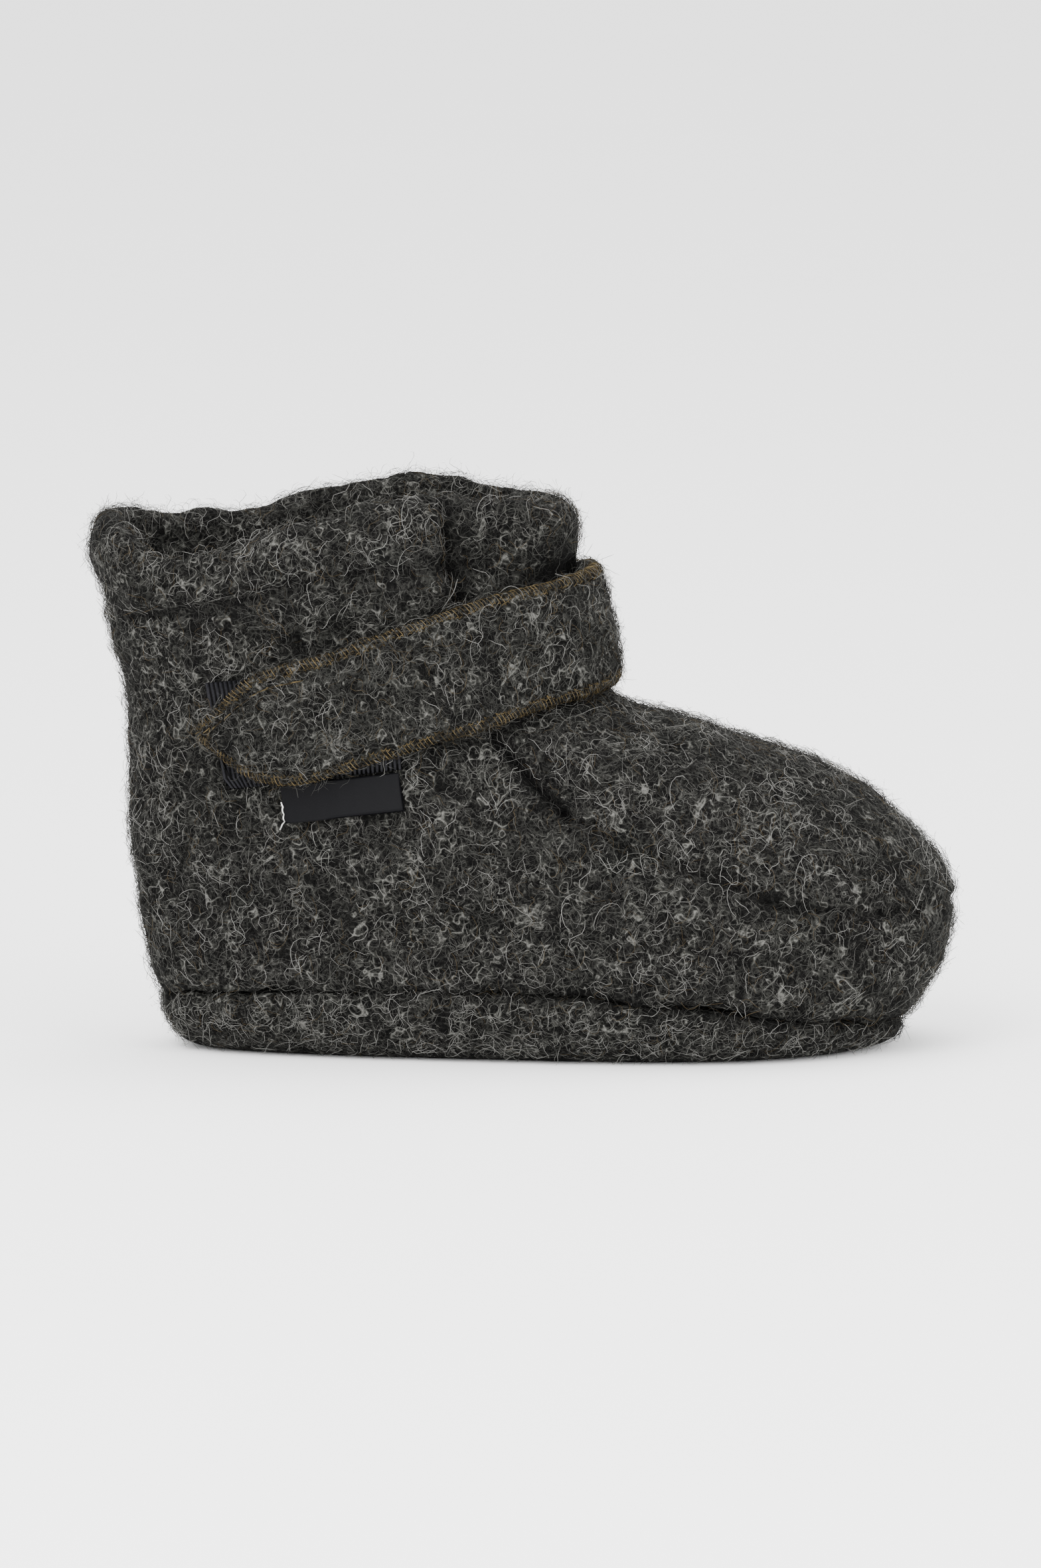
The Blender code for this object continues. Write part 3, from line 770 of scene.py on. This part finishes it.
def stitchTree():
    sockets = (("Stitch", "NodeSocketObject"), ("Material", "NodeSocketMaterial"))
    tree, inputs, outputs = nodesTree("stitches", sockets)
    link, new = tree.links.new, tree.nodes.new
    axes = new("FunctionNodeAxesToRotation")
    axes.primary_axis = "Z"
    axes.secondary_axis = "X"
    for name, socket in (("out", "Primary Axis"), ("along", "Secondary Axis")):
        read = new("GeometryNodeInputNamedAttribute")
        read.data_type = "FLOAT_VECTOR"
        read.inputs["Name"].default_value = name
        link(read.outputs["Attribute"], axes.inputs[socket])
    shape = new("GeometryNodeObjectInfo")
    link(inputs.outputs["Stitch"], shape.inputs["Object"])
    place = new("GeometryNodeInstanceOnPoints")
    link(inputs.outputs["Geometry"], place.inputs["Points"])
    link(shape.outputs["Geometry"], place.inputs["Instance"])
    link(axes.outputs[0], place.inputs["Rotation"])
    wobble = new("FunctionNodeRandomValue")
    wobble.data_type = "FLOAT"
    wobble.inputs[2].default_value = 0.6
    wobble.inputs[3].default_value = 1.15
    link(wobble.outputs[1], place.inputs["Scale"])
    real = new("GeometryNodeRealizeInstances")
    link(place.outputs[0], real.inputs[0])
    paint = new("GeometryNodeSetMaterial")
    link(real.outputs[0], paint.inputs["Geometry"])
    link(inputs.outputs["Material"], paint.inputs["Material"])
    link(paint.outputs[0], outputs.inputs["Geometry"])
    return tree


def sewn(name, places, along, out, shape, tree, material):
    mesh = bpy.data.meshes.new(name)
    mesh.from_pydata([tuple(p) for p in places], [], [])
    for label, values in (("along", along), ("out", out)):
        layer = mesh.attributes.new(label, "FLOAT_VECTOR", "POINT")
        layer.data.foreach_set("vector", np.array(values, dtype=np.float32).ravel())
    piece = linked(name, mesh)
    applyTree(piece, tree, {"Stitch": shape, "Material": material})
    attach(piece, "root")
    print("stitches", name, triangles(piece), "triangles")


def threadMaterial(name, colour):
    made, tree, shader = plainMaterial(name)
    place = tree.nodes.new("ShaderNodeTexCoord")
    speckle = tree.nodes.new("ShaderNodeTexNoise")
    speckle.inputs["Scale"].default_value = 620
    speckle.inputs["Detail"].default_value = 4
    tree.links.new(place.outputs["Object"], speckle.inputs["Vector"])
    dark = tuple(0.16 * c for c in colour)
    light = tuple(min(1.7 * c, 1) for c in colour)
    colours = ramp(tree, ((0.38, dark), (0.52, colour), (0.66, light)))
    tree.links.new(speckle.outputs["Fac"], colours.inputs["Fac"])
    tree.links.new(colours.outputs["Color"], shader.inputs["Base Color"])
    return finished(made, shader, 0.75, 0.08)


def overlock(strap):
    ring, normals = evenly(outerLoop("strap"), overlockLook["pitch"] * mm)
    graph = bpy.context.evaluated_depsgraph_get()
    graph.update()
    surface = BVHTree.FromObject(strap, graph)
    ahead = np.roll(ring, -2, axis=0) - np.roll(ring, 2, axis=0)
    along, out, inward, places = [], [], [], []
    inset = overlockLook["seatInset"] * mm
    for point, direction, normal in zip(ring, ahead, normals):
        direction, normal = Vector(direction).normalized(), Vector(normal).normalized()
        across = normal.cross(direction).normalized()
        seat, _, _, _ = surface.find_nearest(Vector(point) + across * inset)
        places.append(seat - across * inset)
        along.append(direction)
        out.append(normal)
        inward.append(across)
    return np.array([tuple(p) for p in places]), along, out, inward, surface


# The hook-and-loop tape and the label: fine sheets laid on their CAD plates, which lean by some degrees
tapeLook = {"lean": 8, "cells": (240, 10), "ribs": 40, "ribHeight": 0.32, "thickness": 0.9}
labelLook = {"cells": (48, 16), "threads": 190, "thickness": 0.35, "lift": 0.35, "curl": 0.7}


def plateGrid(node, cells, rise):
    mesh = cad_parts[node].data
    places, _ = arrays(mesh)
    middle = places.mean(axis=0)
    flat = places[:, [0, 2]]
    centred = flat - flat.mean(axis=0)
    lean = math.radians(tapeLook["lean"])
    along = centred @ np.array((math.cos(lean), math.sin(lean)))
    up = centred @ np.array((-math.sin(lean), math.cos(lean)))
    along, up = along / np.abs(along).max(), up / np.abs(up).max()
    corners = [flat[np.argmax(x * along + z * up)] for x, z in ((-1, -1), (1, -1), (1, 1), (-1, 1))]
    points = []
    for i in range(cells[0] + 1):
        for k in range(cells[1] + 1):
            u, v = i / cells[0], k / cells[1]
            low = corners[0] * (1 - u) + corners[1] * u
            high = corners[3] * (1 - u) + corners[2] * u
            at = low * (1 - v) + high * v
            start = Vector((at[0], middle[1] - 30 * mm, at[1]))
            hit = solidTrees[node].ray_cast(start, Vector((0, 1, 0)))[0]
            if hit is None:
                hit = solidTrees[node].find_nearest(Vector((at[0], middle[1], at[1])))[0]
            points.append(hit + Vector((0, -1, 0)) * rise(u, v) * mm)
    return points


def sheetMesh(name, points, cells, thickness):
    mesh = bpy.data.meshes.new(name)
    faces = []
    wide = cells[1] + 1
    for i in range(cells[0]):
        for k in range(cells[1]):
            a = i * wide + k
            faces.append((a, a + wide, a + wide + 1, a + 1))
    mesh.from_pydata(points, [], faces)
    uv = mesh.uv_layers.new(name="weave")
    for polygon in mesh.polygons:
        for loop in polygon.loop_indices:
            at = mesh.loops[loop].vertex_index
            uv.data[loop].uv = ((at // wide) / cells[0], (at % wide) / cells[1])
    piece = linked(name, mesh)
    body = piece.modifiers.new("thickness", "SOLIDIFY")
    body.thickness = thickness * mm
    body.offset = -1
    settle(piece)
    piece.data.shade_smooth()
    return piece


def tapeMaterial():
    made, tree, shader = plainMaterial("ribbedTape")
    place = tree.nodes.new("ShaderNodeTexCoord")
    weave = tree.nodes.new("ShaderNodeTexNoise")
    weave.inputs["Scale"].default_value = 2600
    tree.links.new(place.outputs["Object"], weave.inputs["Vector"])
    across = tree.nodes.new("ShaderNodeUVMap")
    across.uv_map = "weave"
    split = tree.nodes.new("ShaderNodeSeparateXYZ")
    tree.links.new(across.outputs["UV"], split.inputs[0])
    # Painted shade and highlight: the colour follows the ribs, darker in their valleys and lighter on their
    # crests
    turns = mathNode(tree, "MULTIPLY", split.outputs[0], math.pi * tapeLook["ribs"])
    ribShade = mathNode(tree, "ABSOLUTE", mathNode(tree, "SINE", turns))
    level = mathNode(tree, "MULTIPLY", ribShade, mathNode(tree, "ADD", weave.outputs["Fac"], 0.4))
    colours = ramp(tree, ((0.25, (0.0007, 0.0007, 0.0008)), (0.9, (0.0105, 0.0105, 0.0122))))
    tree.links.new(level, colours.inputs["Fac"])
    tree.links.new(colours.outputs["Color"], shader.inputs["Base Color"])
    bumped(tree, shader, weave.outputs["Fac"], 0.6, 0.2)
    return finished(made, shader, 0.6, 0.05)


def labelMaterial():
    made, tree, shader = plainMaterial("wovenLabel")
    weaveMap = tree.nodes.new("ShaderNodeUVMap")
    weaveMap.uv_map = "weave"
    stretch = tree.nodes.new("ShaderNodeMapping")
    stretch.inputs["Scale"].default_value = (labelLook["threads"], labelLook["threads"] / 3, 1)
    tree.links.new(weaveMap.outputs["UV"], stretch.inputs["Vector"])
    weave = tree.nodes.new("ShaderNodeTexChecker")
    weave.inputs["Scale"].default_value = 1
    tree.links.new(stretch.outputs["Vector"], weave.inputs["Vector"])
    colours = ramp(tree, ((0.0, (0.0008, 0.0008, 0.0010)), (1.0, (0.0034, 0.0034, 0.0042))))
    tree.links.new(weave.outputs["Fac"], colours.inputs["Fac"])
    tree.links.new(colours.outputs["Color"], shader.inputs["Base Color"])
    bumped(tree, shader, weave.outputs["Fac"], 0.35, 0.06)
    return finished(made, shader, 0.45, 0.05)


# The wool's pieces, in millimetres. recess is the depth and width of the dip along a neighbour, lumps
# are sizes and heights, under names what lies on the piece, and beside what it is sewn to.
woolLooks = {
    "upper": {
        "name": "feltUpper",
        "slot": "upper_wool",
        "voxel": 1.0,
        "softness": 7,
        "creased": True,
        "lumps": ((14, 0.9), (6, 0.5), (2.8, 0.3)),
        "offset": (3, 7, 1),
        "under": ("strap", "fastening_patch", "side_label"),
        "beside": ("sole", "tongue", "strap"),
        "recess": (0.0, 1.15),
    },
    "sole": {
        "name": "feltSole",
        "slot": "sole_wool",
        "voxel": 1.1,
        "softness": 6,
        "creased": False,
        "lumps": ((12, 0.5), (5, 0.4), (2.8, 0.3)),
        "offset": (9, 2, 4),
        "under": (),
        "beside": ("upper",),
        "recess": (0.0, 1.15),
    },
    "tongue": {
        "name": "feltTongue",
        "slot": "tongue_wool",
        "voxel": 0.95,
        "softness": 7,
        "creased": False,
        "lumps": ((10, 0.7), (5, 0.4), (2.8, 0.3)),
        "offset": (1, 5, 8),
        "under": ("upper", "strap"),
        "beside": ("upper", "strap"),
        "recess": (1.9, 3.2),
    },
    "strap": {
        "name": "feltStrap",
        "slot": "strap_wool",
        "voxel": 0.75,
        "softness": 7,
        "creased": False,
        "lumps": ((9, 0.6), (4.5, 0.4), (2.4, 0.25)),
        "offset": (6, 1, 2),
        "under": (),
        "beside": (),
        "recess": (0.0, 1.15),
    },
}
melange = melangeGroup()
felt = woolMaterial("feltedWool", melange)
forms = {}
for node, look in woolLooks.items():
    forms[node] = woolForm(node, look["name"], look)
    forms[node].data.materials.clear()
    forms[node].data.materials.append(felt)
    print("felt", node, len(forms[node].data.polygons), "faces")

strapRing, ringAlong, ringOut, ringInward, strapSurface = overlock(forms["strap"])
stitching = stitchTree()
tanThread = threadMaterial("tanThread", overlockLook["colour"])
wrap = (
    (-0.50, 1.7, 0.00),
    (-0.28, 1.1, 0.32),
    (0.0, 0.4, 0.34),
    (0.22, -0.15, 0.05),
    (0.36, -0.42, -0.8),
    (0.42, -0.40, -1.7),
)
lock = ((-0.50, 1.7, 0.04), (-0.1, 1.4, 0.38), (0.35, 1.65, 0.06))
overEdge = stitchShape("overEdge", (wrap, lock), overlockLook["radius"])
sewn("strapOverlock", strapRing, ringAlong, ringOut, overEdge, stitching, tanThread)

rowPlaces, rowAlong, rowOut = [], [], []
step = max(int(overlockLook["rowPitch"] / overlockLook["pitch"]), 1)
tipHeight = float(strapRing[np.argmin(strapRing[:, 0]), 2])
for i in range(0, len(strapRing), step):
    here = Vector(strapRing[i])
    if here.x < overlockLook["rowFrom"] * footLength and here.y < 0 and here.z > tipHeight - 2 * mm:
        seat, normal, _, _ = strapSurface.find_nearest(here + ringInward[i] * overlockLook["rowInset"] * mm)
        rowPlaces.append(seat + normal * overlockLook["rowRise"] * mm)
        rowAlong.append(ringAlong[i])
        rowOut.append(normal)
dashPath = ((-0.95, 0, -0.1), (-0.5, 0.05, 0.3), (0.5, -0.05, 0.3), (0.95, 0, -0.1))
dash = stitchShape("dash", (dashPath,), 0.12)
sewn("tipRow", rowPlaces, rowAlong, rowOut, dash, stitching, tanThread)


def fromEdge(places):
    far = np.full(len(places), 1e9)
    for spot in strapRing[::2]:
        far = np.minimum(far, np.linalg.norm(places - spot, axis=1))
    return far / mm


def awayFromEdge(places):
    return np.clip((fromEdge(places) - 0.6) / 1.4, 0.55, 1)


def alongEdge(places):
    return np.clip((1.9 - fromEdge(places)) / 0.8, 0, 1)


# The pile on each piece of felt: where it grows, fibres to a square millimetre, seed, smallest and
# largest share of the fibre's size, how far it leans and how bright it is
shapes = fibreShapes()
scatterTree = pileTree()
pileWool = pileMaterial()


def pileOf(node, part, density, seed, sizes, lean, tone=0.97, where=None, material=pileWool):
    look = {"node": node, "part": part, "density": density, "seed": seed, "sizes": sizes, "lean": lean}
    return look | {"tone": tone, "where": where, "material": material, "slot": f"{node}_wool"}


piles = {
    "upperPileA": pileOf("upper", "outside", 0.59, 1, (0.7, 1.3), 0.16),
    "upperPileB": pileOf("upper", "outside", 0.59, 2, (0.7, 1.2), 0.32),
    "upperPileC": pileOf("upper", "outside", 0.59, 3, (0.6, 1.1), 0.52),
    "liningPile": pileOf("upper", "inside", 0.6, 4, (0.7, 1.2), 0.2),
    "solePile": pileOf("sole", "outside", 2.2, 5, (0.7, 1.1), 0.2, 1.2),
    "tonguePile": pileOf("tongue", "outside", 2.0, 6, (0.7, 1.2), 0.25, 0.86),
    "tongueLiningPile": pileOf("tongue", "inside", 1.2, 7, (0.7, 1.1), 0.2),
    "strapPile": pileOf("strap", "outside", 2.35, 8, (0.7, 1.2), 0.28, 0.9, awayFromEdge),
    "edgePile": pileOf("strap", "outside", 4.2, 9, (0.25, 0.45), 0.6, 0.97, alongEdge, tanThread),
}
for name, look in piles.items():
    growPile(forms[look["node"]], name, look, scatterTree, shapes)


# Tape and label

def ribRise(u, v):
    return tapeLook["ribHeight"] * abs(math.sin(math.pi * tapeLook["ribs"] * u))


def labelRise(u, v):
    return labelLook["lift"] + labelLook["curl"] * (1 - v) ** 2 * (0.7 + 0.3 * math.sin(3 * u))


def trim(name, node, look, rise, material):
    points = plateGrid(node, look["cells"], rise)
    piece = sheetMesh(name, points, look["cells"], look["thickness"])
    piece.data.materials.clear()
    piece.data.materials.append(material)
    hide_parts(node)
    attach(piece, "root")
    return piece


trim("ribbedTape", "fastening_patch", tapeLook, ribRise, tapeMaterial())
label = trim("wovenLabel", "side_label", labelLook, labelRise, labelMaterial())

side = [label.data.vertices[k].co.copy() for k in range(0, 10)]
tailPoints, tailFaces = [], []
tail = [p + Vector((-0.12 + 0.1 * math.sin(2 * k), -0.22, 0)) * mm for k, p in enumerate(side)]
thread(tailPoints, tailFaces, [side[0] + Vector((-0.5, -0.4, -0.9)) * mm] + tail, 0.11 * mm, 6)
tailMesh = bpy.data.meshes.new("labelThread")
tailMesh.from_pydata(tailPoints, [], tailFaces)
tailMesh.shade_smooth()
tailMesh.materials.append(threadMaterial("paleThread", (0.42, 0.42, 0.40)))
labelThread = linked("labelThread", tailMesh)
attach(labelThread, "root")
print("tape and label done")


# Floor, light and camera. Sizes are in metres, and each light has its place, aim, size and power.
studioLook = {"reach": 6.0, "paper": 0.93, "sky": 2.6}
lightLook = {
    "key": ((-0.5, -0.9, 0.9), (0, 0, 0.04), 0.8, 22),
    "fill": ((0.8, -0.8, 0.45), (0, 0, 0.04), 0.9, 12),
    "low": ((-0.1, -1.3, 0.16), (0, 0, 0.02), 0.8, 12),
    "top": ((0.1, 0.3, 1.2), (0, 0, 0.05), 0.9, 10),
}
cameraLook = {"elevation": 7.4, "lens": 480, "widthShare": 0.83, "aim": (0, 0, 0.47 * bootHeight)}


def paleFloor():
    reach = studioLook["reach"]
    points = [(-reach, -reach, 0), (reach, -reach, 0), (reach, reach, 0), (-reach, reach, 0)]
    mesh = bpy.data.meshes.new("floor")
    mesh.from_pydata(points, [], [(0, 1, 2, 3)])
    floor = linked("floor", mesh)
    made, tree, shader = plainMaterial("palePaper")
    place = tree.nodes.new("ShaderNodeTexCoord")
    grain = noiseNode(tree, place.outputs["Object"], 9, 3.0)
    tone = studioLook["paper"]
    colours = ramp(tree, ((0.3, (tone - 0.01,) * 3), (0.7, (tone,) * 3)))
    tree.links.new(grain, colours.inputs["Fac"])
    tree.links.new(colours.outputs["Color"], shader.inputs["Base Color"])
    mesh.materials.append(finished(made, shader, 0.9, 0.1))
    world = bpy.data.worlds.new("studio")
    world.use_nodes = True
    world.node_tree.nodes["Background"].inputs["Color"].default_value = (1, 1, 1, 1)
    world.node_tree.nodes["Background"].inputs["Strength"].default_value = studioLook["sky"]
    bpy.context.scene.world = world


def softLight(name, place, aim, size, power):
    data = bpy.data.lights.new(name, "AREA")
    data.shape = "DISK"
    data.size = size
    data.energy = power
    lamp = bpy.data.objects.new(name, data)
    bpy.context.scene.collection.objects.link(lamp)
    lamp.location = place
    lamp.rotation_euler = (Vector(aim) - Vector(place)).to_track_quat("-Z", "Y").to_euler()


def mainCamera(elevation, lens, widthShare, aim):
    data = bpy.data.cameras.new("main")
    data.sensor_fit = "HORIZONTAL"
    data.sensor_width = 36
    data.lens = lens
    camera = bpy.data.objects.new("main", data)
    bpy.context.scene.collection.objects.link(camera)
    far = footLength / widthShare * lens / 36
    up = math.radians(elevation)
    camera.location = Vector(aim) + Vector((0, -math.cos(up), math.sin(up))) * far
    camera.rotation_euler = (math.pi / 2 - up, 0, 0)
    bpy.context.scene.camera = camera


paleFloor()
for name, look in lightLook.items():
    softLight(name, *look)
mainCamera(**cameraLook)
print("stage done")
